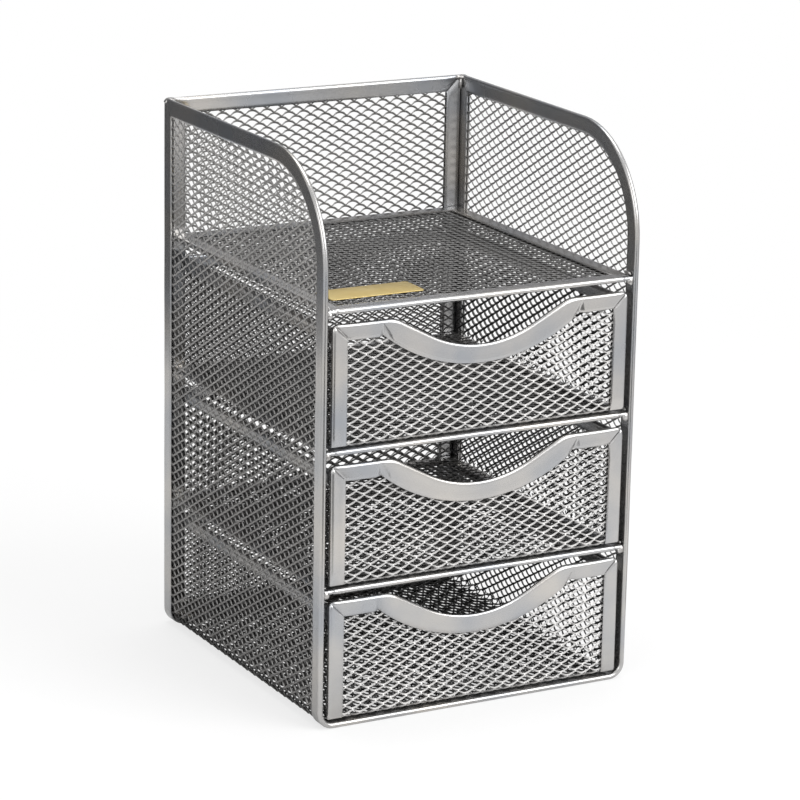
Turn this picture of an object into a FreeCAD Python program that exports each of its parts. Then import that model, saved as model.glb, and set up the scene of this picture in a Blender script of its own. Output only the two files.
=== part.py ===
import FreeCAD, Part
import math
import os
import Sketcher
from FreeCAD import Rotation, Vector

# Desktop mini drawers: a cabinet of wire net bound with folded metal strip,
# an open tray on top and three sliding net drawers under it.
# Millimetres. X to the right, Y to the back, Z up, standing on Z = 0, centred on X and Y.

os.makedirs("parts", exist_ok=True)
document = FreeCAD.newDocument("MiniDrawers")

driving_sizes = {
    # The whole cabinet
    "Width": 124.0,
    "Depth": 127.0,
    "Height": 199.0,
    "FootCornerRadius": 6.0,
    "ShoulderRadius": 38.0,
    # Folded strip and the net that it grips
    "SheetThick": 0.6,
    "NetThick": 0.7,
    "NetPlay": 0.05,
    "StripWidth": 6.0,
    "GripDepth": 4.0,
    "RollFlat": 0.1,
    "CellLong": 6.0,
    "CellShort": 3.4,
    "NetRim": 0.8,
    # Shelves
    "LowerShelfTop": 50.4,
    "ShelfPitch": 49.3,
    "ShelfSetback": 0.6,
    # Bare plate on the tray
    "TagLength": 36.0,
    "TagWidth": 13.5,
    "TagThick": 0.6,
    "TagCorner": 1.0,
    "TagFromSide": 10.5,
    "TagFromFront": 14.5,
    # Weld beads in the cabinet
    "BeadRadius": 1.3,
    "BeadLength": 4.0,
    "BeadInset": 1.0,
    # Drawers
    "DrawerSideGap": 1.8,
    "DrawerBackGap": 4.0,
    "DrawerTopGap": 3.3,
    "DrawerLift": 0.3,
    "DrawerSetback": 0.5,
    "DrawerCorner": 3.0,
    "StileWidth": 5.8,
    "StileLift": 1.1,
    "BandHeight": 5.75,
    "FrontCorner": 2.5,
    "ScoopHalfWidth": 36.6,
    "ScoopDepth": 12.7,
    "ScoopRadius": 42.0,
    "ScoopShoulder": 10.0,
    "BandScoopHalfWidth": 38.2,
    "BandScoopDepth": 13.5,
    "BandGrip": 3.5,
    "SideDrop": 2.0,
    "TrimHeight": 5.0,
    "TackRadius": 1.0,
    "TackLength": 3.5,
    # How far a cutting shape runs past what it cuts
    "Overrun": 1.0,
}

# Of each net cell, the share that is open, and how many cells a net is drawn with at most:
# the real nets have up to ten times as many.
open_share = 0.8
cells_in_shown_net = 280
cells_in_inner_net = 150
bend_cell_share = 0.7
sample_shares = (0.1, 0.5, 0.9)
arc_steps = 24
touch = 1e-4

sheet = document.addObject("Spreadsheet::Sheet", "Sizes")
for row, (name, value) in enumerate(driving_sizes.items(), start=1):
    sheet.set("A%d" % row, name)
    sheet.set("B%d" % row, str(value))
    sheet.setAlias("B%d" % row, name)
document.recompute()


class Size:
    # A length with its number and the sheet expression that gives it
    def __init__(self, number, text):
        self.number = number
        self.text = text

    def __add__(self, other):
        return join(self, "+", other)

    def __radd__(self, other):
        return join(as_size(other), "+", self)

    def __sub__(self, other):
        return join(self, "-", other)

    def __rsub__(self, other):
        return join(as_size(other), "-", self)

    def __mul__(self, other):
        return join(self, "*", other)

    def __rmul__(self, other):
        return join(as_size(other), "*", self)

    def __truediv__(self, other):
        return join(self, "/", other)

    def __neg__(self):
        return Size(-self.number, "(0 - %s)" % self.text)


def as_size(value):
    return value if isinstance(value, Size) else Size(float(value), repr(value))


def join(first, sign, second):
    second = as_size(second)
    results = {
        "+": first.number + second.number,
        "-": first.number - second.number,
        "*": first.number * second.number,
        "/": first.number / second.number if second.number else 0.0,
    }
    return Size(results[sign], "(%s %s %s)" % (first.text, sign, second.text))


class Sizes:
    pass


s = Sizes()
for name in driving_sizes:
    setattr(s, name, Size(float(getattr(sheet, name)), "Sizes." + name))

# Sizes that follow from the driving ones
slot_thick = s.NetThick + 2 * s.NetPlay
strip_thick = slot_thick + 2 * s.SheetThick
slot_stop = s.StripWidth - s.GripDepth
net_inset = s.SheetThick + s.NetPlay
roll_radius = strip_thick / 2 - s.RollFlat
half_width = s.Width / 2
half_depth = s.Depth / 2
inner_half_width = half_width - strip_thick
shelf_front = s.ShelfSetback - half_depth
shelf_back = half_depth - strip_thick
drawer_half_width = inner_half_width - s.DrawerSideGap
drawer_front = s.DrawerSetback - half_depth
drawer_depth = shelf_back - s.DrawerBackGap - drawer_front
drawer_top = s.ShelfPitch - strip_thick - s.DrawerLift - s.DrawerTopGap
drawer_side_top = drawer_top - s.SideDrop


def plane_of(body, role):
    return next(item for item in body.Origin.OriginFeatures if item.Role == role)


def new_body(label):
    body = document.addObject("PartDesign::Body", label)
    body.Label = label
    return body


def new_sketch(body, name, role, offset=None):
    sketch = body.newObject("Sketcher::SketchObject", name)
    sketch.AttachmentSupport = [(plane_of(body, role), "")]
    sketch.MapMode = "FlatFace"
    if offset is not None:
        sketch.setExpression("AttachmentOffset.Base.z", offset.text)
    return sketch


def rounded(corners):
    # Corners are (x, y, radius or None), square to the axes where they have a radius.
    # The outline that comes back is (x, y, bend): how the edge that ends there bends.
    outline = []
    count = len(corners)
    for index, (x, y, radius) in enumerate(corners):
        if radius is None:
            outline.append((x, y, None))
            continue
        before = corners[index - 1]
        after = corners[(index + 1) % count]
        way_in = direction(before, (x, y))
        way_out = direction((x, y), after)
        turn = way_in[0] * way_out[1] - way_in[1] * way_out[0]
        outline.append((shifted(x, -way_in[0], radius), shifted(y, -way_in[1], radius), None))
        bend = (radius, 1 if turn > 0 else -1)
        outline.append((shifted(x, way_out[0], radius), shifted(y, way_out[1], radius), bend))
    return outline


def direction(start, end):
    dx = as_size(end[0]).number - as_size(start[0]).number
    dy = as_size(end[1]).number - as_size(start[1]).number
    length = math.hypot(dx, dy)
    return round(dx / length), round(dy / length)


def shifted(value, sign, radius):
    if sign == 0:
        return value
    return value + radius if sign > 0 else value - radius


def arc_centre(start, end, radius, turn):
    # Centre of the shorter arc from start to end, to the left of the way when turn is 1
    middle = ((start[0] + end[0]) / 2, (start[1] + end[1]) / 2)
    dx, dy = end[0] - start[0], end[1] - start[1]
    chord = math.hypot(dx, dy)
    height = math.sqrt(max(radius * radius - chord * chord / 4, 0.0))
    return middle[0] - turn * dy / chord * height, middle[1] + turn * dx / chord * height


def flat_points(outline):
    return [(as_size(x).number, as_size(y).number) for x, y, bend in outline]


def draw(sketch, outline):
    points = flat_points(outline)
    count = len(points)
    starts, ends = [], []
    for index in range(count):
        start, end = points[index], points[(index + 1) % count]
        bend = outline[(index + 1) % count][2]
        if bend is None:
            line = Part.LineSegment(Vector(start[0], start[1], 0), Vector(end[0], end[1], 0))
            sketch.addGeometry(line, False)
            starts.append(1)
            ends.append(2)
            continue
        radius, turn = bend
        cx, cy = arc_centre(start, end, radius.number, turn)
        first, last = (start, end) if turn > 0 else (end, start)
        angles = [math.atan2(point[1] - cy, point[0] - cx) for point in (first, last)]
        circle = Part.Circle(Vector(cx, cy, 0), Vector(0, 0, 1), radius.number)
        sketch.addGeometry(Part.ArcOfCircle(circle, angles[0], angles[1]), False)
        starts.append(1 if turn > 0 else 2)
        ends.append(2 if turn > 0 else 1)
        bound(sketch, "Radius", (index,), radius)
    for index in range(count):
        after = (index + 1) % count
        sketch.addConstraint(Sketcher.Constraint("Coincident", index, ends[index], after, starts[after]))
    for index, (x, y, bend) in enumerate(outline):
        bound(sketch, "DistanceX", (-1, 1, index, starts[index]), as_size(x))
        bound(sketch, "DistanceY", (-1, 1, index, starts[index]), as_size(y))


def bound(sketch, kind, where, size):
    constraint = sketch.addConstraint(Sketcher.Constraint(kind, *where, size.number))
    if size.text not in ("0", "0.0"):
        sketch.setExpression("Constraints[%d]" % constraint, size.text)


def add_feature(body, kind, name, sketch, length, side="Symmetric", reverse=False):
    feature = body.newObject("PartDesign::" + kind, name)
    feature.Profile = sketch
    feature.SideType = side
    feature.Reversed = reverse
    feature.setExpression("Length", length.text)
    return feature


def roll_edges(body, base, chosen):
    # The fold of the strip: its outer edges are rounded
    document.recompute()
    names = []
    for index, edge in enumerate(base.Shape.Edges, start=1):
        first, last = edge.ParameterRange
        samples = [edge.valueAt(first + (last - first) * share) for share in sample_shares]
        if all(chosen(point) for point in samples):
            names.append("Edge%d" % index)
    fillet = body.newObject("PartDesign::Fillet", "Roll")
    fillet.Base = (base, names)
    fillet.setExpression("Radius", roll_radius.text)
    return fillet


def near(first, second):
    return abs(first - second) < touch


def place(item, x=None, y=None, z=None):
    for axis, size in (("x", x), ("y", y), ("z", z)):
        if size is not None:
            item.setExpression("Placement.Base." + axis, size.text)


def strip(label, role, outline, slot_outline):
    # A folded strip: a flat bar with a slot for the net, both about the sketch plane
    body = new_body(label)
    bar_sketch = new_sketch(body, "BarOutline", role)
    draw(bar_sketch, outline)
    bar = add_feature(body, "Pad", "Bar", bar_sketch, strip_thick)
    slot_sketch = new_sketch(body, "SlotOutline", role)
    draw(slot_sketch, slot_outline)
    slot = add_feature(body, "Pocket", "Slot", slot_sketch, slot_thick)
    return body, slot


def net_face(outline, cell_limit, at):
    # A flat plate with staggered diamond cells. at(u, v) places a point of its plane.
    edges = plate_edges(outline, at)
    flat_edges = plate_edges(outline, lambda u, v: Vector(u, v, 0))
    fence = []
    for edge in flat_edges:
        fence += edge.discretize(2 if isinstance(edge.Curve, Part.Line) else arc_steps)[:-1]
    area = abs(Part.Face(Part.Wire(flat_edges)).Area)
    cell_area = s.CellLong.number * s.CellShort.number / 2
    growth = max(1.0, math.sqrt(area / (cell_limit * cell_area)))
    rim = s.NetRim.number
    low_u, high_u = min(p.x for p in fence), max(p.x for p in fence)
    low_v, high_v = min(p.y for p in fence), max(p.y for p in fence)
    columns, step_u = fitted((high_u - low_u) / 2 - rim, s.CellLong.number * growth / 2)
    rows, step_v = fitted((high_v - low_v) / 2 - rim, s.CellShort.number * growth / 2)
    reach_u, reach_v = step_u * open_share, step_v * open_share
    wires = [Part.Wire(edges)]
    for column in range(-columns, columns + 1):
        for row in range(-rows, rows + 1):
            if (column + row) % 2:
                continue
            u = (low_u + high_u) / 2 + column * step_u
            v = (low_v + high_v) / 2 + row * step_v
            corners = [(u + reach_u, v), (u, v - reach_v), (u - reach_u, v), (u, v + reach_v)]
            if all(well_inside(corner, fence, rim) for corner in corners):
                corners.append(corners[0])
                wires.append(Part.makePolygon([at(a, b) for a, b in corners]))
    return Part.Face(wires)


def fitted(half_span, step):
    # A whole number of half cells out from the middle, and their size to end at the rim
    count = round(half_span / step - open_share)
    return count, half_span / (count + open_share)


def plate_edges(outline, at):
    points = flat_points(outline)
    edges = []
    for index, start in enumerate(points):
        end = points[(index + 1) % len(points)]
        bend = outline[(index + 1) % len(points)][2]
        if bend is None:
            edges.append(Part.LineSegment(at(*start), at(*end)).toShape())
            continue
        radius = bend[0].number
        cx, cy = arc_centre(start, end, radius, bend[1])
        mx, my = (start[0] + end[0]) / 2 - cx, (start[1] + end[1]) / 2 - cy
        reach = radius / math.hypot(mx, my)
        middle = (cx + mx * reach, cy + my * reach)
        edges.append(Part.Arc(at(*start), at(*middle), at(*end)).toShape())
    return edges


def well_inside(point, fence, rim):
    x, y = point
    inside = False
    nearest = float("inf")
    for index, start in enumerate(fence):
        end = fence[(index + 1) % len(fence)]
        if (start.y > y) != (end.y > y):
            if x < start.x + (y - start.y) / (end.y - start.y) * (end.x - start.x):
                inside = not inside
        dx, dy = end.x - start.x, end.y - start.y
        share = ((x - start.x) * dx + (y - start.y) * dy) / (dx * dx + dy * dy)
        share = min(max(share, 0.0), 1.0)
        nearest = min(nearest, math.hypot(x - start.x - share * dx, y - start.y - share * dy))
    return inside and nearest >= rim - touch


def net(label, outline, cell_limit, at, normal, more=()):
    # The net's plate lies evenly about its plane
    thick = s.NetThick.number

    def at_face(u, v):
        return at(u, v) - normal * (thick / 2)

    plate = net_face(outline, cell_limit, at_face).extrude(normal * thick)
    if more:
        plate = plate.fuse(list(more)).removeSplitter()
    if plate.ShapeType == "Compound" and len(plate.Solids) == 1:
        plate = plate.Solids[0]
    feature = document.addObject("Part::Feature", label)
    feature.Label = label
    feature.Shape = plate
    return feature


def net_bend(corner_x, side, radius, y_from, y_to, bottom):
    # A quarter turn of net from the floor up to a side, with a row of open cells.
    # corner_x is the outer face of the side, bottom the underside of the floor.
    outer, inner = radius.number, (radius - s.NetThick).number
    cx, cz = side * (corner_x.number - outer), bottom.number + outer
    length = (y_to - y_from).number
    ring = Part.makeCylinder(outer, length, Vector(cx, y_from.number, cz), Vector(0, 1, 0))
    core = Part.makeCylinder(inner, length, Vector(cx, y_from.number, cz), Vector(0, 1, 0))
    corner = Vector(min(cx, cx + side * outer), y_from.number, cz - outer)
    quarter = Part.makeBox(outer, length, outer, corner)
    bend = ring.cut(core).common(quarter)
    rim = s.NetRim.number
    cell = (outer + inner) / 2
    pitch = cell + 2 * rim
    count = int((length - 2 * rim) / pitch)
    first = y_from.number + (length - count * pitch) / 2 + pitch / 2
    across = Vector(side, 0, 1).normalize()
    outward = Vector(side, 0, -1).normalize()
    holes = []
    for index in range(count):
        middle = Vector(cx, first + index * pitch, cz)
        half = cell / 2
        corners = [middle + Vector(0, half, 0), middle + across * (half * bend_cell_share)]
        corners += [middle - Vector(0, half, 0), middle - across * (half * bend_cell_share)]
        corners.append(corners[0])
        prism = Part.Face(Part.makePolygon(corners)).extrude(outward * (2 * outer))
        holes.append(prism)
    return bend.cut(holes) if holes else bend


def upright_xz(u, v):
    return Vector(u, 0, v)


def upright_yz(u, v):
    return Vector(0, u, v)


def level_xy(u, v):
    return Vector(u, v, 0)


# Cabinet: sides

side_slot_edge = slot_stop - s.NetPlay


def side_net_outline(edge, floor):
    return rounded([
        (edge - half_depth, floor, None),
        (half_depth - edge, floor, None),
        (half_depth - edge, s.Height - edge, None),
        (edge - half_depth, s.Height - edge, s.ShoulderRadius - edge),
    ])


def make_side(prefix, side):
    mid_x = side * (half_width - strip_thick / 2)
    slot_outline = side_net_outline(side_slot_edge, s.FootCornerRadius - s.Overrun)
    front_outline = rounded([
        (-half_depth, s.FootCornerRadius, None),
        (s.StripWidth - half_depth, s.FootCornerRadius, None),
        (s.StripWidth - half_depth, s.Height - s.StripWidth, s.ShoulderRadius - s.StripWidth),
        (half_depth - s.StripWidth, s.Height - s.StripWidth, None),
        (half_depth, s.Height, None),
        (-half_depth, s.Height, s.ShoulderRadius),
    ])
    rear_outline = rounded([
        (half_depth - s.StripWidth, s.FootCornerRadius, None),
        (half_depth, s.FootCornerRadius, None),
        (half_depth, s.Height, None),
        (half_depth - s.StripWidth, s.Height - s.StripWidth, None),
    ])

    def on_front_edge(point):
        shoulder = math.hypot(
            point.y + half_depth.number - s.ShoulderRadius.number,
            point.z - s.Height.number + s.ShoulderRadius.number,
        )
        at_face = near(abs(point.x), strip_thick.number / 2)
        on_arc = near(shoulder, s.ShoulderRadius.number)
        return at_face and (near(point.z, s.Height.number) or near(point.y, -half_depth.number) or on_arc)

    def on_rear_edge(point):
        return near(abs(point.x), strip_thick.number / 2) and near(point.y, half_depth.number)

    body, slot = strip(prefix + "_front_binding", "YZ_Plane", front_outline, slot_outline)
    roll_edges(body, slot, on_front_edge)
    place(body, x=mid_x)
    body, slot = strip(prefix + "_rear_binding", "YZ_Plane", rear_outline, slot_outline)
    roll_edges(body, slot, on_rear_edge)
    place(body, x=mid_x)
    outline = side_net_outline(slot_stop, s.FootCornerRadius)
    side_net = net(prefix + "_side_net", outline, cells_in_shown_net, upright_yz, Vector(1, 0, 0))
    place(side_net, x=mid_x)


make_side("left", -1)
make_side("right", 1)


# Cabinet: feet and floor

def foot_band(outer, inner):
    radius = s.FootCornerRadius
    return [
        (outer - half_width, radius, None),
        (radius - half_width, outer, (radius - outer, 1)),
        (half_width - radius, outer, None),
        (half_width - outer, radius, (radius - outer, 1)),
        (half_width - inner, radius, None),
        (half_width - radius, inner, (radius - inner, -1)),
        (radius - half_width, inner, None),
        (inner - half_width, radius, (radius - inner, -1)),
    ]


def make_foot(label, side):
    # side is -1 for the front foot, whose strip runs back from the front edge
    body = new_body(label)
    to_back = side < 0
    band = new_sketch(body, "BandOutline", "XZ_Plane")
    draw(band, foot_band(as_size(0), strip_thick))
    add_feature(body, "Pad", "Band", band, s.StripWidth, "One side", to_back)
    stop = side * side_slot_edge
    slot = new_sketch(body, "SlotOutline", "XZ_Plane", stop)
    draw(slot, foot_band(s.SheetThick, s.SheetThick + slot_thick))
    slot_length = s.GripDepth + s.NetPlay + s.Overrun
    pocket = add_feature(body, "Pocket", "Slot", slot, slot_length, "One side", not to_back)

    def on_outer_edge(point):
        return near(point.y, 0) and point.z < s.FootCornerRadius.number - touch

    roll_edges(body, pocket, on_outer_edge)
    place(body, y=side * half_depth)


make_foot("front_foot_binding", -1)
make_foot("rear_foot_binding", 1)

floor_outline = rounded([
    (s.FootCornerRadius - half_width, slot_stop - half_depth, None),
    (half_width - s.FootCornerRadius, slot_stop - half_depth, None),
    (half_width - s.FootCornerRadius, half_depth - slot_stop, None),
    (s.FootCornerRadius - half_width, half_depth - slot_stop, None),
])
bend_radius = s.FootCornerRadius - net_inset
floor_end = half_depth - slot_stop
floor_bends = [
    net_bend(half_width - net_inset, side, bend_radius, -floor_end, floor_end, -s.NetThick / 2)
    for side in (-1, 1)
]
floor_net = net("floor_net", floor_outline, cells_in_inner_net, level_xy, Vector(0, 0, 1), floor_bends)
place(floor_net, z=net_inset + s.NetThick / 2)


# Cabinet: back panel between the sides

def make_back():
    low, high = strip_thick, s.Height
    across = inner_half_width
    width = s.StripWidth
    slot_outline = rounded([
        (side_slot_edge - across, low + side_slot_edge, None),
        (across - side_slot_edge, low + side_slot_edge, None),
        (across - side_slot_edge, high - side_slot_edge, None),
        (side_slot_edge - across, high - side_slot_edge, None),
    ])
    inner_corner = s.FootCornerRadius - strip_thick
    pieces = {
        "back_top_rail": [
            (-across, high, None),
            (width - across, high - width, None),
            (across - width, high - width, None),
            (across, high, None),
        ],
        "back_bottom_rail": [
            (-across, low, inner_corner),
            (across, low, inner_corner),
            (across, low + width, None),
            (-across, low + width, None),
        ],
    }
    for name, side in (("left", -1), ("right", 1)):
        pieces["back_%s_stile" % name] = [
            (side * across, low + width, None),
            (side * (across - width), low + width, None),
            (side * (across - width), high - width, None),
            (side * across, high, None),
        ]
    for label, corners in pieces.items():
        body, slot = strip(label, "XZ_Plane", rounded(corners), slot_outline)
        if label == "back_top_rail":
            roll_edges(body, slot, lambda point: near(point.z, s.Height.number) and not near(point.y, 0))
        place(body, y=half_depth - strip_thick / 2)
    outline = rounded([
        (slot_stop - across, low + slot_stop, None),
        (across - slot_stop, low + slot_stop, None),
        (across - slot_stop, high - slot_stop, None),
        (slot_stop - across, high - slot_stop, None),
    ])
    back_net = net("back_net", outline, cells_in_shown_net, upright_xz, Vector(0, 1, 0))
    place(back_net, y=half_depth - strip_thick / 2)


make_back()


# Cabinet: two shelves and the tray's floor, each a net in a strip frame

def make_shelf(prefix, top):
    across, front, back = inner_half_width, shelf_front, shelf_back
    width = s.StripWidth
    slot_outline = rounded([
        (side_slot_edge - across, front + side_slot_edge, None),
        (across - side_slot_edge, front + side_slot_edge, None),
        (across - side_slot_edge, back - side_slot_edge, None),
        (side_slot_edge - across, back - side_slot_edge, None),
    ])
    rail_outline = rounded([
        (-across, front, None),
        (across, front, None),
        (across - width, front + width, None),
        (width - across, front + width, None),
    ])
    frame_outline = rounded([
        (-across, front, None),
        (width - across, front + width, None),
        (width - across, back - width, None),
        (across - width, back - width, None),
        (across - width, front + width, None),
        (across, front, None),
        (across, back, None),
        (-across, back, None),
    ])
    net_outline = rounded([
        (slot_stop - across, front + slot_stop, None),
        (across - slot_stop, front + slot_stop, None),
        (across - slot_stop, back - slot_stop, None),
        (slot_stop - across, back - slot_stop, None),
    ])
    body, slot = strip(prefix + "_front_rail", "XY_Plane", rail_outline, slot_outline)
    roll_edges(body, slot, lambda point: near(point.y, shelf_front.number) and not near(point.z, 0))
    place(body, z=top - strip_thick / 2)
    body, slot = strip(prefix + "_frame", "XY_Plane", frame_outline, slot_outline)
    place(body, z=top - strip_thick / 2)
    shelf_net = net(prefix + "_net", net_outline, cells_in_inner_net, level_xy, Vector(0, 0, 1))
    place(shelf_net, z=top - strip_thick / 2)


shelf_tops = {
    "lower_shelf": s.LowerShelfTop,
    "upper_shelf": s.LowerShelfTop + s.ShelfPitch,
    "tray": s.LowerShelfTop + 2 * s.ShelfPitch,
}
for prefix, top in shelf_tops.items():
    make_shelf(prefix, top)


# The bare plate that lies on the tray's net

def make_tag():
    left = s.TagFromSide - half_width
    front = s.TagFromFront - half_depth
    body = new_body("tag_plate")
    sketch = new_sketch(body, "PlateOutline", "XY_Plane")
    draw(sketch, rounded([
        (left, front, s.TagCorner),
        (left + s.TagLength, front, s.TagCorner),
        (left + s.TagLength, front + s.TagWidth, s.TagCorner),
        (left, front + s.TagWidth, s.TagCorner),
    ]))
    add_feature(body, "Pad", "Plate", sketch, s.TagThick, "One side")
    place(body, z=shelf_tops["tray"] - net_inset)


make_tag()


# Fillet welds: quarter rounds along the inner corners that they hold

def bead(radius, length, base, along, first_side, second_side):
    # The quarter between first_side and second_side, from base along the corner line
    solid = Part.makeCylinder(radius.number, length.number, Vector(0, 0, 0), Vector(0, 0, 1), 90)
    if first_side.cross(second_side).dot(along) < 0:
        first_side, second_side = second_side, first_side
    matrix = FreeCAD.Matrix()
    matrix.A11, matrix.A21, matrix.A31 = first_side
    matrix.A12, matrix.A22, matrix.A32 = second_side
    matrix.A13, matrix.A23, matrix.A33 = along
    placement = FreeCAD.Placement(matrix)
    placement.Base = Vector(*[size.number for size in base])
    solid.Placement = placement
    return solid


def make_cabinet_welds():
    beads = []
    for side in (-1, 1):
        inward = Vector(-side, 0, 0)
        for top in shelf_tops.values():
            base = (side * inner_half_width, shelf_front + s.BeadInset, top)
            beads.append(bead(s.BeadRadius, s.BeadLength, base, Vector(0, 1, 0), inward, Vector(0, 0, 1)))
        base = (side * inner_half_width, shelf_back, s.Height - s.BeadInset - s.BeadLength)
        beads.append(bead(s.BeadRadius, s.BeadLength, base, Vector(0, 0, 1), inward, Vector(0, -1, 0)))
    feature = document.addObject("Part::Feature", "weld_beads")
    feature.Label = "weld_beads"
    feature.Shape = Part.makeCompound(beads)


make_cabinet_welds()


# Drawers, each drawn with its front face at y = 0 and its underside at z = 0

def scoop_outline(sketch):
    # The finger scoop: a round shoulder, a slope, a wide round bottom, and the same again
    half, depth = s.ScoopHalfWidth.number, s.ScoopDepth.number
    wide, tight = s.ScoopRadius.number, s.ScoopShoulder.number
    top = drawer_top.number
    reach = wide + tight
    slope_length = math.sqrt(half ** 2 + (depth - reach) ** 2 - reach ** 2)
    slope = math.atan2(depth - reach, half) - math.atan2(-reach, slope_length)
    low = top - depth
    z_axis = Vector(0, 0, 1)
    quarter = math.pi / 2
    left = Part.Circle(Vector(-half, top - tight, 0), z_axis, tight)
    bottom = Part.Circle(Vector(0, low + wide, 0), z_axis, wide)
    right = Part.Circle(Vector(half, top - tight, 0), z_axis, tight)
    a = Vector(-half + tight * math.sin(slope), top - tight + tight * math.cos(slope), 0)
    b = Vector(-wide * math.sin(slope), low + wide - wide * math.cos(slope), 0)
    c = Vector(-b.x, b.y, 0)
    d = Vector(-a.x, a.y, 0)
    over = s.Overrun.number
    corners = [(half, top), (half, top + over), (-half, top + over), (-half, top)]
    corners = [Vector(x, y, 0) for x, y in corners]
    sketch.addGeometry(Part.ArcOfCircle(left, quarter - slope, quarter), False)
    sketch.addGeometry(Part.LineSegment(a, b), False)
    sketch.addGeometry(Part.ArcOfCircle(bottom, 3 * quarter - slope, 3 * quarter + slope), False)
    sketch.addGeometry(Part.LineSegment(c, d), False)
    sketch.addGeometry(Part.ArcOfCircle(right, quarter, quarter + slope), False)
    for start, end in zip(corners[:-1], corners[1:]):
        sketch.addGeometry(Part.LineSegment(start, end), False)
    for first, first_end, second, second_end in ((0, 1, 1, 1), (1, 2, 2, 1), (2, 2, 3, 1), (3, 2, 4, 2)):
        sketch.addConstraint(Sketcher.Constraint("Tangent", first, first_end, second, second_end))
    for first, first_end, second, second_end in ((4, 1, 5, 1), (5, 2, 6, 1), (6, 2, 7, 1), (7, 2, 0, 2)):
        sketch.addConstraint(Sketcher.Constraint("Coincident", first, first_end, second, second_end))
    for arc, radius in ((0, s.ScoopShoulder), (2, s.ScoopRadius), (4, s.ScoopShoulder)):
        bound(sketch, "Radius", (arc,), radius)
    for arc, x, y in (
        (0, -s.ScoopHalfWidth, drawer_top - s.ScoopShoulder),
        (2, as_size(0), drawer_top - s.ScoopDepth + s.ScoopRadius),
        (4, s.ScoopHalfWidth, drawer_top - s.ScoopShoulder),
    ):
        bound(sketch, "DistanceX", (-1, 1, arc, 3), x)
        bound(sketch, "DistanceY", (-1, 1, arc, 3), y)
    bound(sketch, "DistanceX", (-1, 1, 5, 1), s.ScoopHalfWidth)
    bound(sketch, "DistanceX", (-1, 1, 7, 2), -s.ScoopHalfWidth)
    for line, end, x in ((5, 2, s.ScoopHalfWidth), (6, 2, -s.ScoopHalfWidth)):
        bound(sketch, "DistanceX", (-1, 1, line, end), x)
        bound(sketch, "DistanceY", (-1, 1, line, end), drawer_top + s.Overrun)


def sagging_top(half_window, top, low, rise, spread):
    # An upright window under the scooped band: its top edge dips in one wide arc.
    # rise and spread grow it, as the net and its slot reach into the band.
    half = s.BandScoopHalfWidth
    dip = s.BandScoopDepth
    radius = (half * half + dip * dip) / (2 * dip)
    edge = top - s.BandHeight + rise
    return [
        (-half_window - spread, low, None),
        (half_window + spread, low, None),
        (half_window + spread, edge, None),
        (half, edge, None),
        (-half, edge, (radius, -1)),
        (-half_window - spread, edge, None),
    ]


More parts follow.
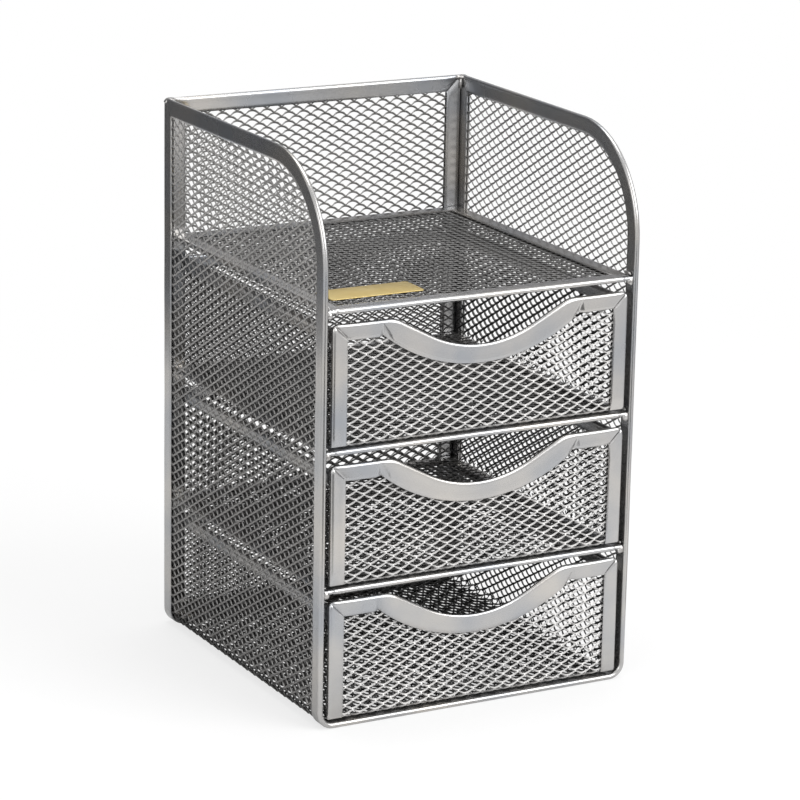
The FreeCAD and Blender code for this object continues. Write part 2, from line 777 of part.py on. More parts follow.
def make_drawer(prefix, support):
    base = {"y": drawer_front, "z": support + s.DrawerLift}
    half = drawer_half_width
    trim_bottom = drawer_side_top - s.TrimHeight
    net_half = half - slot_stop
    net_floor = s.NetThick
    rear = drawer_depth

    # Front: stiles and scooped band in one frame, with the net in its slot
    body = new_body(prefix + "_front_frame")
    outer = new_sketch(body, "FrontOutline", "XZ_Plane")
    draw(outer, rounded([
        (-half, s.StileLift, None),
        (half, s.StileLift, None),
        (half, drawer_top, s.FrontCorner),
        (-half, drawer_top, s.FrontCorner),
    ]))
    add_feature(body, "Pad", "Front", outer, strip_thick)
    window = new_sketch(body, "WindowOutline", "XZ_Plane")
    window_low = s.StileLift - s.Overrun
    draw(window, sagging_top(half - s.StileWidth, drawer_top, window_low, as_size(0), as_size(0)))
    add_feature(body, "Pocket", "Window", window, strip_thick + s.Overrun)
    scoop = new_sketch(body, "ScoopOutline", "XZ_Plane")
    scoop_outline(scoop)
    cut = add_feature(body, "Pocket", "Scoop", scoop, strip_thick + s.Overrun)
    document.recompute()
    window_half = (half - s.StileWidth).number
    band_edge = (drawer_top - s.BandHeight).number

    def on_outer_edge(point):
        beside = near(abs(point.x), half.number)
        above = point.z > (s.StileLift + s.Overrun).number and not near(point.z, s.StileLift.number)
        over_band = above_band(point)
        return near(abs(point.y), strip_thick.number / 2) and (beside or (above and over_band))

    def above_band(point):
        if near(abs(point.x), window_half):
            return False
        if point.z > band_edge + touch:
            return True
        dip, across = s.BandScoopDepth.number, s.BandScoopHalfWidth.number
        radius = (across ** 2 + dip ** 2) / (2 * dip)
        if abs(point.x) > across:
            return False
        lower = band_edge - dip + radius - math.sqrt(radius ** 2 - point.x ** 2)
        return point.z > lower + s.Overrun.number

    rolled = roll_edges(body, cut, on_outer_edge)
    slot = new_sketch(body, "SlotOutline", "XZ_Plane")
    slot_low = s.StileLift - s.Overrun
    draw(slot, sagging_top(net_half, drawer_top, slot_low, s.BandGrip + s.NetPlay, s.NetPlay))
    add_feature(body, "Pocket", "Slot", slot, slot_thick)
    place(body, y=base["y"] + strip_thick / 2, z=base["z"])

    corner = s.DrawerCorner - s.NetThick
    front_outline = sagging_top(net_half, drawer_top, net_floor, s.BandGrip, as_size(0))
    left_low, right_low = front_outline[0], front_outline[1]
    front_outline[0:2] = [
        (left_low[0] + corner, left_low[1], (corner, 1)),
        (right_low[0] - corner, right_low[1], None),
        (right_low[0], right_low[1] + corner, (corner, 1)),
    ]
    front_outline.append((left_low[0], left_low[1] + corner, None))
    front_net = net(prefix + "_front_net", front_outline, cells_in_shown_net, upright_xz, Vector(0, 1, 0))
    place(front_net, y=base["y"] + strip_thick / 2, z=base["z"])

    # Sides: a net with a trim along its top edge
    for name, side in (("left", -1), ("right", 1)):
        mid_x = side * (half - strip_thick / 2)
        trim_outline = rounded([
            (strip_thick, trim_bottom, None),
            (rear, trim_bottom, None),
            (rear, drawer_side_top, None),
            (strip_thick, drawer_side_top, None),
        ])
        slot_outline = rounded([
            (strip_thick - s.Overrun, trim_bottom - s.Overrun, None),
            (rear - net_inset + s.NetPlay, trim_bottom - s.Overrun, None),
            (rear - net_inset + s.NetPlay, drawer_side_top - side_slot_edge, None),
            (strip_thick - s.Overrun, drawer_side_top - side_slot_edge, None),
        ])
        body, slot = strip("%s_%s_trim" % (prefix, name), "YZ_Plane", trim_outline, slot_outline)
        roll_edges(body, slot, lambda point: near(point.z, drawer_side_top.number)
                   and near(abs(point.x), strip_thick.number / 2))
        place(body, x=mid_x, **base)
        outline = rounded([
            (strip_thick, s.DrawerCorner, None),
            (rear - net_inset, s.DrawerCorner, None),
            (rear - net_inset, drawer_side_top - slot_stop, None),
            (strip_thick, drawer_side_top - slot_stop, None),
        ])
        side_net = net("%s_%s_net" % (prefix, name), outline, cells_in_inner_net, upright_yz, Vector(1, 0, 0))
        place(side_net, x=mid_x, **base)

    # Back: the same net and trim, between the sides
    across = half - strip_thick
    trim_outline = rounded([
        (-across, trim_bottom, None),
        (across, trim_bottom, None),
        (across, drawer_side_top, None),
        (-across, drawer_side_top, None),
    ])
    slot_outline = rounded([
        (-across - s.Overrun, trim_bottom - s.Overrun, None),
        (across + s.Overrun, trim_bottom - s.Overrun, None),
        (across + s.Overrun, drawer_side_top - side_slot_edge, None),
        (-across - s.Overrun, drawer_side_top - side_slot_edge, None),
    ])
    body, slot = strip(prefix + "_back_trim", "XZ_Plane", trim_outline, slot_outline)
    roll_edges(body, slot, lambda point: near(point.z, drawer_side_top.number)
               and near(abs(point.y), strip_thick.number / 2))
    place(body, y=base["y"] + rear - strip_thick / 2, z=base["z"])
    back_outline = rounded([
        (-across, net_floor, corner),
        (across, net_floor, corner),
        (across, drawer_side_top - slot_stop, None),
        (-across, drawer_side_top - slot_stop, None),
    ])
    back_net = net(prefix + "_back_net", back_outline, cells_in_inner_net, upright_xz, Vector(0, 1, 0))
    place(back_net, y=base["y"] + rear - strip_thick / 2, z=base["z"])

    # Floor, turned up at both sides
    side_face = half - net_inset
    floor_half = side_face - s.DrawerCorner
    bends = [
        net_bend(side_face, side, s.DrawerCorner, strip_thick, rear - net_inset, -s.NetThick / 2)
        for side in (-1, 1)
    ]
    outline = rounded([
        (-floor_half, net_inset, None),
        (floor_half, net_inset, None),
        (floor_half, rear - net_inset, None),
        (-floor_half, rear - net_inset, None),
    ])
    floor = net(prefix + "_floor_net", outline, cells_in_inner_net, level_xy, Vector(0, 0, 1), bends)
    place(floor, y=base["y"], z=base["z"] + s.NetThick / 2)

    # Tack welds behind the front and at the rear corners
    tacks = []
    tack_low = drawer_side_top - roll_radius - s.TackLength
    for side in (-1, 1):
        inward = Vector(-side, 0, 0)
        for y, way in ((strip_thick, Vector(0, 1, 0)), (rear - strip_thick, Vector(0, -1, 0))):
            corner_line = (side * across, y, tack_low)
            tacks.append(bead(s.TackRadius, s.TackLength, corner_line, Vector(0, 0, 1), inward, way))
    feature = document.addObject("Part::Feature", prefix + "_tack_welds")
    feature.Label = prefix + "_tack_welds"
    feature.Shape = Part.makeCompound(tacks)
    place(feature, **base)


drawer_supports = {
    "bottom_drawer": strip_thick,
    "middle_drawer": shelf_tops["lower_shelf"],
    "top_drawer": shelf_tops["upper_shelf"],
}
for prefix, support in drawer_supports.items():
    make_drawer(prefix, support)

document.recompute()

for item in document.Objects:
    if any(word in item.State for word in ("Invalid", "Error")):
        raise RuntimeError("%s failed: %s" % (item.Label, item.State))

nodes = [item for item in document.Objects if item.TypeId in ("PartDesign::Body", "Part::Feature")]
for item in nodes:
    if item.Shape.isNull() or not item.Shape.isValid():
        raise RuntimeError("%s has no sound shape" % item.Label)
for item in nodes:
    item.Shape.exportStep("parts/%s.step" % item.Label)
print("%d nodes, %.1f cubic centimetres" % (len(nodes), sum(item.Shape.Volume for item in nodes) / 1000))
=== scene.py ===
import bpy
import math
from mathutils import Matrix, Vector, noise


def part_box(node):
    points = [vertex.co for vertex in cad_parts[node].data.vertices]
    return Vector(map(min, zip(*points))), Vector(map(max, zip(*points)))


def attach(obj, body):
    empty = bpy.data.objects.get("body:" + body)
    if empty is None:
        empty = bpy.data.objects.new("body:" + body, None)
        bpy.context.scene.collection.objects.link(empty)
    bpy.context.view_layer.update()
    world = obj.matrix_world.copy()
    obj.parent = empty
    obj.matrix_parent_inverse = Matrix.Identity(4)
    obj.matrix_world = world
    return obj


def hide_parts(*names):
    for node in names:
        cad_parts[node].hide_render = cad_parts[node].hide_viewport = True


# Desktop mini drawers: silver expanded net in folded steel hems, an open tray and three drawers

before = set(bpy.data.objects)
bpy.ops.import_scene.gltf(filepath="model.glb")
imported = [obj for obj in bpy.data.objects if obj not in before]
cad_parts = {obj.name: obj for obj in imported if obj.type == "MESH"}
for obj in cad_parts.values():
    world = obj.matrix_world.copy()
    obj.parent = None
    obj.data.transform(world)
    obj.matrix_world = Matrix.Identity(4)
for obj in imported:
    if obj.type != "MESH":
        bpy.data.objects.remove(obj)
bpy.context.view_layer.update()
print("frame loaded:", len(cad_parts), "solids")


# Shared ways of working

def deselectAll():
    if bpy.context.object and bpy.context.object.mode != "OBJECT":
        bpy.ops.object.mode_set(mode="OBJECT")
    bpy.ops.object.select_all(action="DESELECT")


def pick(piece, kind, test):
    # Selects the vertices, edges or faces whose corners all pass the test, and goes to edit mode
    bpy.ops.object.mode_set(mode="OBJECT")
    mesh = piece.data
    for group in (mesh.vertices, mesh.edges, mesh.polygons):
        for item in group:
            item.select = False
    passed = [test(vertex.co) for vertex in mesh.vertices]
    if kind == "VERT":
        for vertex, good in zip(mesh.vertices, passed):
            vertex.select = good
    else:
        for item in mesh.edges if kind == "EDGE" else mesh.polygons:
            item.select = all(passed[corner] for corner in item.vertices)
    bpy.ops.object.mode_set(mode="EDIT")
    bpy.ops.mesh.select_mode(type=kind)


def applyModifiers(piece):
    for modifier in list(piece.modifiers):
        bpy.ops.object.modifier_apply(modifier=modifier.name)


def finishPiece(piece, name, finish, body, *solids):
    piece.name = name
    piece.data.name = name
    piece.data.materials.clear()
    piece.data.materials.append(materials[finish])
    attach(piece, body)
    if solids:
        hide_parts(*solids)
    return piece


# Camera, floor and light

camera = {
    "place": (-0.5817, -1.0617, 0.4347),
    "turn": 28.82,    # degrees to the right of straight back
    "down": 15.67,
    "roll": 1.10,
    "lens": 157.0,
    "sensor": 36.0,
}

lamps = {
    "key": {"place": (0.7, -1.05, 0.95), "aim": (0, 0, 0.1), "size": 1.3, "power": 19.0},
    "fill": {"place": (-1.25, -0.75, 0.7), "aim": (0, 0, 0.1), "size": 0.9, "power": 5.0},
    "top": {"place": (0.05, 0.15, 1.35), "aim": (0, 0, 0.1), "size": 0.8, "power": 8.0},
}

surroundings = {
    "strength": 0.45,          # what the room gives to dull surfaces
    "floorSize": 9.0,
    "floorColour": (0.9, 0.9, 0.9, 1),
    "nearGlow": 0.72,          # how far the floor beside the object is plain white, and not lit and shaded
    "glowStart": 0.11,
    "glowEnd": 0.6,
}

cloths = {
    # Dark cloth round the back and sides, grey cloth at the right, and cards on the floor
    "radius": 0.5,
    "faces": 48,
    "height": 0.8,
    "front": 0.25,
    "right": 0.36,
    "leftTone": (0.075, 0.075, 0.078, 1),
    "rightTone": (0.4, 0.4, 0.41, 1),
    "blend": (-0.06, 0.12),    # where the left tone ends and the right one starts
    "greyHeight": 0.3,
    "greyLeft": 0.38,
    "greyFront": -0.25,
    "cardHeight": 0.0006,
    "cards": {                 # low corner, high corner, tone
        "darkCard": ((-0.34, -0.9), (0.03, -0.24), 0.04),
        "greyCard": ((0.13, -0.12), (0.5, 0.4), 0.3),
    },
}


def makeCamera():
    yaw, pitch, roll = (math.radians(camera[key]) for key in ("turn", "down", "roll"))
    level = math.cos(pitch)
    forward = Vector((math.sin(yaw) * level, math.cos(yaw) * level, -math.sin(pitch)))
    right = Vector((math.cos(yaw), -math.sin(yaw), 0))
    up = right.cross(forward)
    side = right * math.cos(roll) + up * math.sin(roll)
    top = up * math.cos(roll) - right * math.sin(roll)
    bpy.ops.object.camera_add()
    view = bpy.context.object
    view.name = "photoCamera"
    turned = Matrix((side, top, -forward)).transposed().to_4x4()
    view.matrix_world = Matrix.Translation(camera["place"]) @ turned
    view.data.lens = camera["lens"]
    view.data.sensor_width = camera["sensor"]
    bpy.context.scene.camera = view


def makeLamps():
    for name, lamp in lamps.items():
        bpy.ops.object.light_add(type="AREA", location=lamp["place"])
        light = bpy.context.object
        light.name = name + "Lamp"
        way = Vector(lamp["aim"]) - Vector(lamp["place"])
        light.rotation_euler = way.to_track_quat("-Z", "Y").to_euler()
        light.data.shape = "DISK"
        light.data.size = lamp["size"]
        light.data.energy = lamp["power"]


def makeWorld():
    world = bpy.data.worlds.new("paleRoom")
    bpy.context.scene.world = world
    world.use_nodes = True
    nodes, links = world.node_tree.nodes, world.node_tree.links
    nodes.clear()
    path = nodes.new("ShaderNodeLightPath")
    seen = nodes.new("ShaderNodeMath")
    seen.operation = "MAXIMUM"
    seenThrough = nodes.new("ShaderNodeMath")
    seenThrough.operation = "MAXIMUM"
    plain = nodes.new("ShaderNodeBackground")
    plain.inputs["Color"].default_value = (1, 1, 1, 1)
    plain.inputs["Strength"].default_value = surroundings["strength"]
    white = nodes.new("ShaderNodeBackground")
    white.inputs["Color"].default_value = (1, 1, 1, 1)
    white.inputs["Strength"].default_value = 1
    mix = nodes.new("ShaderNodeMixShader")
    output = nodes.new("ShaderNodeOutputWorld")
    links.new(path.outputs["Is Camera Ray"], seen.inputs[0])
    links.new(path.outputs["Is Glossy Ray"], seen.inputs[1])
    links.new(seen.outputs[0], seenThrough.inputs[0])
    links.new(path.outputs["Is Transmission Ray"], seenThrough.inputs[1])
    links.new(seenThrough.outputs[0], mix.inputs["Fac"])
    links.new(plain.outputs[0], mix.inputs[1])
    links.new(white.outputs[0], mix.inputs[2])
    links.new(mix.outputs[0], output.inputs["Surface"])


def makeFloor():
    bpy.ops.mesh.primitive_plane_add(size=surroundings["floorSize"])
    floor = bpy.context.object
    floor.name = "floor"
    material = bpy.data.materials.new("paleFloor")
    material.use_nodes = True
    nodes, links = material.node_tree.nodes, material.node_tree.links
    nodes.clear()

    def combine(operation, first, second, third=None):
        node = nodes.new("ShaderNodeMath")
        node.operation = operation
        for index, value in enumerate((first, second, third)):
            if value is None:
                continue
            if isinstance(value, (int, float)):
                node.inputs[index].default_value = value
            else:
                links.new(value, node.inputs[index])
        return node.outputs[0]

    path = nodes.new("ShaderNodeLightPath")
    place = nodes.new("ShaderNodeTexCoord")
    away = nodes.new("ShaderNodeVectorMath")
    away.operation = "LENGTH"
    links.new(place.outputs["Object"], away.inputs[0])
    fade = nodes.new("ShaderNodeMapRange")
    fade.interpolation_type = "SMOOTHSTEP"
    fade.inputs["From Min"].default_value = surroundings["glowStart"]
    fade.inputs["From Max"].default_value = surroundings["glowEnd"]
    links.new(away.outputs["Value"], fade.inputs["Value"])
    near = surroundings["nearGlow"]
    white = combine("MULTIPLY_ADD", fade.outputs[0], 1 - near, near)
    seenShare = combine("MULTIPLY", path.outputs["Is Camera Ray"], white)
    mirrored = combine("MAXIMUM", path.outputs["Is Glossy Ray"], path.outputs["Is Transmission Ray"])
    share = combine("MULTIPLY_ADD", mirrored, fade.outputs[0], seenShare)
    paint = nodes.new("ShaderNodeBsdfDiffuse")
    paint.inputs["Color"].default_value = surroundings["floorColour"]
    glow = nodes.new("ShaderNodeEmission")
    glow.inputs["Color"].default_value = (1, 1, 1, 1)
    mix = nodes.new("ShaderNodeMixShader")
    output = nodes.new("ShaderNodeOutputMaterial")
    links.new(share, mix.inputs["Fac"])
    links.new(paint.outputs[0], mix.inputs[1])
    links.new(glow.outputs[0], mix.inputs[2])
    links.new(mix.outputs[0], output.inputs["Surface"])
    floor.data.materials.append(material)


def darken(piece, left, right):
    # Studio cloth: gives the bright metal something dark to reflect, and is seen and lit by nothing else
    material = bpy.data.materials.new(piece.name)
    material.use_nodes = True
    nodes, links = material.node_tree.nodes, material.node_tree.links
    shader = nodes["Principled BSDF"]
    shader.inputs["Roughness"].default_value = 1
    place = nodes.new("ShaderNodeTexCoord")
    parts = nodes.new("ShaderNodeSeparateXYZ")
    across = nodes.new("ShaderNodeMapRange")
    across.inputs["From Min"].default_value, across.inputs["From Max"].default_value = cloths["blend"]
    colour = nodes.new("ShaderNodeMix")
    colour.data_type = "RGBA"
    colour.inputs["A"].default_value = left
    colour.inputs["B"].default_value = right
    links.new(place.outputs["Object"], parts.inputs["Vector"])
    links.new(parts.outputs["X"], across.inputs["Value"])
    links.new(across.outputs["Result"], colour.inputs["Factor"])
    links.new(colour.outputs["Result"], shader.inputs["Base Color"])
    piece.data.materials.append(material)
    piece.visible_camera = False
    piece.visible_diffuse = False
    piece.visible_transmission = False
    piece.visible_shadow = False


def makeScreen(name, height, cutAway, left, right):
    bpy.ops.mesh.primitive_cylinder_add(
        vertices=cloths["faces"], radius=cloths["radius"], depth=height, end_fill_type="NOTHING",
        location=(0, 0, height / 2),
    )
    screen = bpy.context.object
    screen.name = name
    pick(screen, "FACE", cutAway)
    bpy.ops.mesh.delete(type="FACE")
    bpy.ops.object.mode_set(mode="OBJECT")
    darken(screen, left, right)


def makeCloths():
    left, right = cloths["leftTone"], cloths["rightTone"]
    makeScreen(
        "darkScreen", cloths["height"],
        lambda place: place.y < cloths["front"] or place.x > cloths["right"], left, right,
    )
    makeScreen(
        "greyScreen", cloths["greyHeight"],
        lambda place: place.x < cloths["greyLeft"] or place.y < cloths["greyFront"], right, right,
    )
    for name, (first, last, tone) in cloths["cards"].items():
        middle = [(a + b) / 2 for a, b in zip(first, last)]
        bpy.ops.mesh.primitive_plane_add(size=1, location=(*middle, cloths["cardHeight"]))
        card = bpy.context.object
        card.name = name
        bpy.ops.object.mode_set(mode="EDIT")
        bpy.ops.transform.resize(value=(last[0] - first[0], last[1] - first[1], 1))
        bpy.ops.object.mode_set(mode="OBJECT")
        darken(card, (tone, tone, tone, 1), (tone, tone, tone, 1))


makeCamera()
makeLamps()
makeWorld()
makeFloor()
makeCloths()
bpy.context.scene.view_settings.view_transform = "Standard"
print("camera, lamps and floor placed")


# Materials

coat = {
    "patchDetail": 3, "grainDetail": 2, "patchStart": 0.35, "patchFull": 0.7,
    "grainShare": 0.35,    # how much the small grain adds to the patches in the bump
}


def makeCoatGrain():
    # Fine unevenness of a sprayed coat: soft patches, small grain and a little dust. The soft patches are
    # random tone, and on the hems their darker, bluer colour is also painted reflection
    group = bpy.data.node_groups.new("coatGrain", "ShaderNodeTree")
    for name, kind, value in (
        ("Colour", "NodeSocketColor", (0.5, 0.5, 0.5, 1)),
        ("Patch Tone And Reflection", "NodeSocketColor", (0.4, 0.4, 0.4, 1)),
        ("Patch Size", "NodeSocketFloat", 60.0),
        ("Grain Size", "NodeSocketFloat", 1500.0),
        ("Smoothest", "NodeSocketFloat", 0.28),
        ("Roughest", "NodeSocketFloat", 0.45),
    ):
        group.interface.new_socket(name, in_out="INPUT", socket_type=kind).default_value = value
    group.interface.new_socket("Colour", in_out="OUTPUT", socket_type="NodeSocketColor")
    group.interface.new_socket("Roughness", in_out="OUTPUT", socket_type="NodeSocketFloat")
    group.interface.new_socket("Height", in_out="OUTPUT", socket_type="NodeSocketFloat")
    nodes, links = group.nodes, group.links
    given = nodes.new("NodeGroupInput")
    result = nodes.new("NodeGroupOutput")
    place = nodes.new("ShaderNodeTexCoord")
    patches = nodes.new("ShaderNodeTexNoise")
    patches.inputs["Detail"].default_value = coat["patchDetail"]
    grain = nodes.new("ShaderNodeTexNoise")
    grain.inputs["Detail"].default_value = coat["grainDetail"]
    tone = nodes.new("ShaderNodeMapRange")
    tone.inputs["From Min"].default_value = coat["patchStart"]
    tone.inputs["From Max"].default_value = coat["patchFull"]
    colour = nodes.new("ShaderNodeMix")
    colour.data_type = "RGBA"
    rough = nodes.new("ShaderNodeMapRange")
    both = nodes.new("ShaderNodeMath")
    both.operation = "MULTIPLY_ADD"
    both.inputs[1].default_value = coat["grainShare"]
    links.new(place.outputs["Object"], patches.inputs["Vector"])
    links.new(place.outputs["Object"], grain.inputs["Vector"])
    links.new(given.outputs["Patch Size"], patches.inputs["Scale"])
    links.new(given.outputs["Grain Size"], grain.inputs["Scale"])
    links.new(patches.outputs["Fac"], tone.inputs["Value"])
    links.new(tone.outputs["Result"], colour.inputs["Factor"])
    links.new(given.outputs["Colour"], colour.inputs["A"])
    links.new(given.outputs["Patch Tone And Reflection"], colour.inputs["B"])
    links.new(patches.outputs["Fac"], rough.inputs["Value"])
    links.new(given.outputs["Smoothest"], rough.inputs["To Min"])
    links.new(given.outputs["Roughest"], rough.inputs["To Max"])
    links.new(grain.outputs["Fac"], both.inputs[0])
    links.new(patches.outputs["Fac"], both.inputs[2])
    links.new(colour.outputs["Result"], result.inputs["Colour"])
    links.new(rough.outputs["Result"], result.inputs["Roughness"])
    links.new(both.outputs[0], result.inputs["Height"])
    return group


finishes = {
    "hemSilver": {
        # The hems' darker bluish patch colour is painted reflection of darker surroundings, laid on in random
        # patches
        "colour": (0.49, 0.47, 0.445, 1), "patchToneAndReflection": (0.335, 0.35, 0.375, 1),
        "patchSize": 34.0, "grainSize": 1600.0, "smoothest": 0.16, "roughest": 0.34,
        "metallic": 0.92, "bump": 0.05, "depth": 0.0004,
    },
    # Same net steel as netSilver, painted lighter: painted light for the drawer-front nets, which face the
    # lamps
    "frontNetPaintedLight": {
        "colour": (0.52, 0.51, 0.50, 1), "patchToneAndReflection": (0.45, 0.445, 0.44, 1),
        "patchSize": 30.0, "grainSize": 1900.0, "smoothest": 0.45, "roughest": 0.62,
        "metallic": 0.9, "bump": 0.05, "depth": 0.0003,
    },
    "netSilver": {
        "colour": (0.38, 0.372, 0.363, 1), "patchToneAndReflection": (0.31, 0.305, 0.30, 1),
        "patchSize": 30.0, "grainSize": 1900.0, "smoothest": 0.36, "roughest": 0.54,
        "metallic": 0.92, "bump": 0.05, "depth": 0.0003,
    },
    # Same net steel as netSilver, painted much darker: painted shade for the nets inside the cabinet and the
    # drawers
    "innerNetPaintedShade": {
        "colour": (0.125, 0.122, 0.12, 1), "patchToneAndReflection": (0.09, 0.089, 0.088, 1),
        "patchSize": 30.0, "grainSize": 1900.0, "smoothest": 0.3, "roughest": 0.46,
        "metallic": 0.92, "bump": 0.05, "depth": 0.0003,
    },
    "weldSilver": {
        "colour": (0.5, 0.49, 0.48, 1), "patchToneAndReflection": (0.3, 0.29, 0.28, 1),
        "patchSize": 700.0, "grainSize": 2500.0, "smoothest": 0.18, "roughest": 0.4,
        "metallic": 0.9, "bump": 0.35, "depth": 0.0004,
    },
    "tagGold": {
        "colour": (0.66, 0.52, 0.22, 1), "patchToneAndReflection": (0.58, 0.44, 0.17, 1),
        "patchSize": 130.0, "grainSize": 2200.0, "smoothest": 0.3, "roughest": 0.46,
        "metallic": 0.9, "bump": 0.06, "depth": 0.0003,
    },
}


def makeFinish(name, grainGroup):
    values = finishes[name]
    material = bpy.data.materials.new(name)
    material.use_nodes = True
    nodes, links = material.node_tree.nodes, material.node_tree.links
    shader = nodes["Principled BSDF"]
    shader.inputs["Metallic"].default_value = values["metallic"]
    grain = nodes.new("ShaderNodeGroup")
    grain.node_tree = grainGroup
    grain.inputs["Colour"].default_value = values["colour"]
    grain.inputs["Patch Tone And Reflection"].default_value = values["patchToneAndReflection"]
    grain.inputs["Patch Size"].default_value = values["patchSize"]
    grain.inputs["Grain Size"].default_value = values["grainSize"]
    grain.inputs["Smoothest"].default_value = values["smoothest"]
    grain.inputs["Roughest"].default_value = values["roughest"]
    bump = nodes.new("ShaderNodeBump")
    bump.inputs["Strength"].default_value = values["bump"]
    bump.inputs["Distance"].default_value = values["depth"]
    links.new(grain.outputs["Colour"], shader.inputs["Base Color"])
    links.new(grain.outputs["Roughness"], shader.inputs["Roughness"])
    links.new(grain.outputs["Height"], bump.inputs["Height"])
    links.new(bump.outputs["Normal"], shader.inputs["Normal"])
    return material


coatGrain = makeCoatGrain()
materials = {name: makeFinish(name, coatGrain) for name in finishes}
print("finishes mixed")


# Expanded net: one bond with its four half strands, copied over each sheet

net = {
    "longWay": 0.006,
    "shortWay": 0.0034,
    "tilt": 38.0,
    "join": 0.0001,    # corners closer than this are one
}

bonds = {
    # scallop 1 gives straight diamonds, more hangs the strands in scallops; spread widens them between bonds
    "plain": {
        "segments": 1, "strand": 0.00052, "bond": 0.0006,
        "scallop": 1.45, "spread": 1.3, "sheet": 0.00036,
    },
    "front": {
        "segments": 2, "strand": 0.0005, "bond": 0.0003,
        "scallop": 1.35, "spread": 1.45, "sheet": 0.0002,
    },
    "back": {
        "segments": 2, "strand": 0.0007, "bond": 0.0006,
        "scallop": 1.75, "spread": 1.25, "sheet": 0.0003,
    },
}


def makeBond(values):
    # Two strands joined by a short bond, each leaving it upwards in a sweep and downwards in a steep run
    width, strand, scallop = (values[key] for key in ("bond", "strand", "scallop"))
    segments, spread = values["segments"], values["spread"]
    deselectAll()
    bpy.ops.mesh.primitive_plane_add(size=1)
    bond = bpy.context.object
    bpy.ops.object.mode_set(mode="EDIT")
    bpy.ops.transform.resize(value=(width, 2 * strand, 1))
    bpy.ops.mesh.bisect(plane_co=(0, 0, 0), plane_no=(0, 1, 0))
    bpy.ops.mesh.select_all(action="SELECT")
    tilt = math.radians(net["tilt"])
    bpy.ops.transform.rotate(value=tilt, orient_axis="X", center_override=(0, 0, 0))
    middle = Vector((0, strand / 2 * math.cos(tilt), -strand / 2 * math.sin(tilt)))
    first = width / net["longWay"]
    rise = net["shortWay"] / 2
    for across in (-1, 1):
        for upward in (-1, 1):
            start = Vector((across * width / 2, upward * middle.y, upward * middle.z))
            for step in range(1, segments + 1):
                along = first + (0.5 - first) * step / segments
                left = 1 - step / segments
                climb = rise * (along if upward > 0 else 1 - along) ** scallop
                level = climb if upward > 0 else climb - rise
                base = rise * (first if upward > 0 else 1 - first) ** scallop
                offset = upward * middle.y - (base if upward > 0 else base - rise)
                x = across * along * net["longWay"] / 2
                point = Vector((x, level + offset * left, upward * middle.z * left))
                near = middle.length * 1.2 * spread
                pick(
                    bond, "EDGE",
                    lambda place: (place - start).length < near and abs(place.x - start.x) < net["join"],
                )
                bpy.ops.mesh.extrude_edges_move(TRANSFORM_OT_translate={"value": point - start})
                grow = spread ** (1 / segments)
                bpy.ops.transform.resize(value=(1, grow, grow), center_override=point)
                start = point
    bpy.ops.object.mode_set(mode="OBJECT")
    thicken = bond.modifiers.new("sheet", "SOLIDIFY")
    thicken.thickness = values["sheet"]
    thicken.offset = 0
    applyModifiers(bond)
    reach = net["longWay"] / 4 - values["sheet"]
    pick(bond, "FACE", lambda place: abs(place.x) > reach)
    bpy.ops.mesh.delete(type="FACE")
    bpy.ops.mesh.select_all(action="SELECT")
    bpy.ops.mesh.normals_make_consistent(inside=False)
    bpy.ops.object.mode_set(mode="OBJECT")
    return bond


bondShapes = {name: makeBond(values) for name, values in bonds.items()}
print("net bonds made:", ", ".join(bondShapes))


def weaveNet(name, body, solids, spanU, spanV, keep, fold, bond="plain", turned=False, finish="netSilver"):
    # A sheet of net laid out flat, long way along u, then folded into place by fold(u, v, w)
    shape = bondShapes[bond]
    deselectAll()
    shape.select_set(True)
    bpy.context.view_layer.objects.active = shape
    bpy.ops.object.duplicate()
    sheet = bpy.context.object
    longWay, shortWay = net["longWay"], net["shortWay"]
    firstU = math.floor(spanU[0] / longWay) * longWay
    firstV = math.floor(spanV[0] / shortWay) * shortWay
    bpy.ops.object.mode_set(mode="EDIT")
    bpy.ops.mesh.select_all(action="SELECT")
    if turned:
        bpy.ops.transform.rotate(value=math.pi, orient_axis="Z", center_override=(0, 0, 0))
    bpy.ops.transform.translate(value=(firstU, firstV, 0))
    bpy.ops.object.mode_set(mode="OBJECT")
    steps = (
        (2, (longWay / 2, shortWay / 2, 0)),
        (math.ceil((spanU[1] - firstU) / longWay) + 1, (longWay, 0, 0)),
        (math.ceil((spanV[1] - firstV) / shortWay) + 1, (0, shortWay, 0)),
    )
    for count, offset in steps:
        row = sheet.modifiers.new("row", "ARRAY")
        row.count = count
        row.use_relative_offset = False
        row.use_constant_offset = True
        row.constant_offset_displace = offset
    applyModifiers(sheet)
    mesh = sheet.data
    size = len(shape.data.vertices)
    for start in range(0, len(mesh.vertices), size):
        corners = mesh.vertices[start:start + size]
        u = sum(corner.co.x for corner in corners) / size
        v = sum(corner.co.y for corner in corners) / size
        inside = spanU[0] <= u <= spanU[1] and spanV[0] <= v <= spanV[1] and keep(u, v)
        for corner in corners:
            corner.select = not inside
    for item in list(mesh.edges) + list(mesh.polygons):
        item.select = False
    bpy.ops.object.mode_set(mode="EDIT")
    bpy.ops.mesh.select_mode(type="VERT")
    bpy.ops.mesh.delete(type="VERT")
    bpy.ops.mesh.select_all(action="SELECT")
    bpy.ops.mesh.remove_doubles(threshold=net["join"])
    bpy.ops.object.mode_set(mode="OBJECT")
    for corner in mesh.vertices:
        corner.co = fold(*corner.co)
    mesh.update()
    return finishPiece(sheet, name, finish, body, *solids)


def rolled(distance, flat, radius):
    # A path that runs flat from the middle, turns up a quarter and goes on upright, with its outward normal
    sign = 1 if distance >= 0 else -1
    past = abs(distance) - flat
    if past <= 0:
        return distance, 0.0, 0.0, -1.0
    turn = past / radius
    if turn <= math.pi / 2:
        rise = radius * (1 - math.cos(turn))
        return sign * (flat + radius * math.sin(turn)), rise, sign * math.sin(turn), -math.cos(turn)
    return sign * (flat + radius), radius + past - radius * math.pi / 2, float(sign), 0.0


# Folded hem: a strip bent double over the net's edge, swept through stations

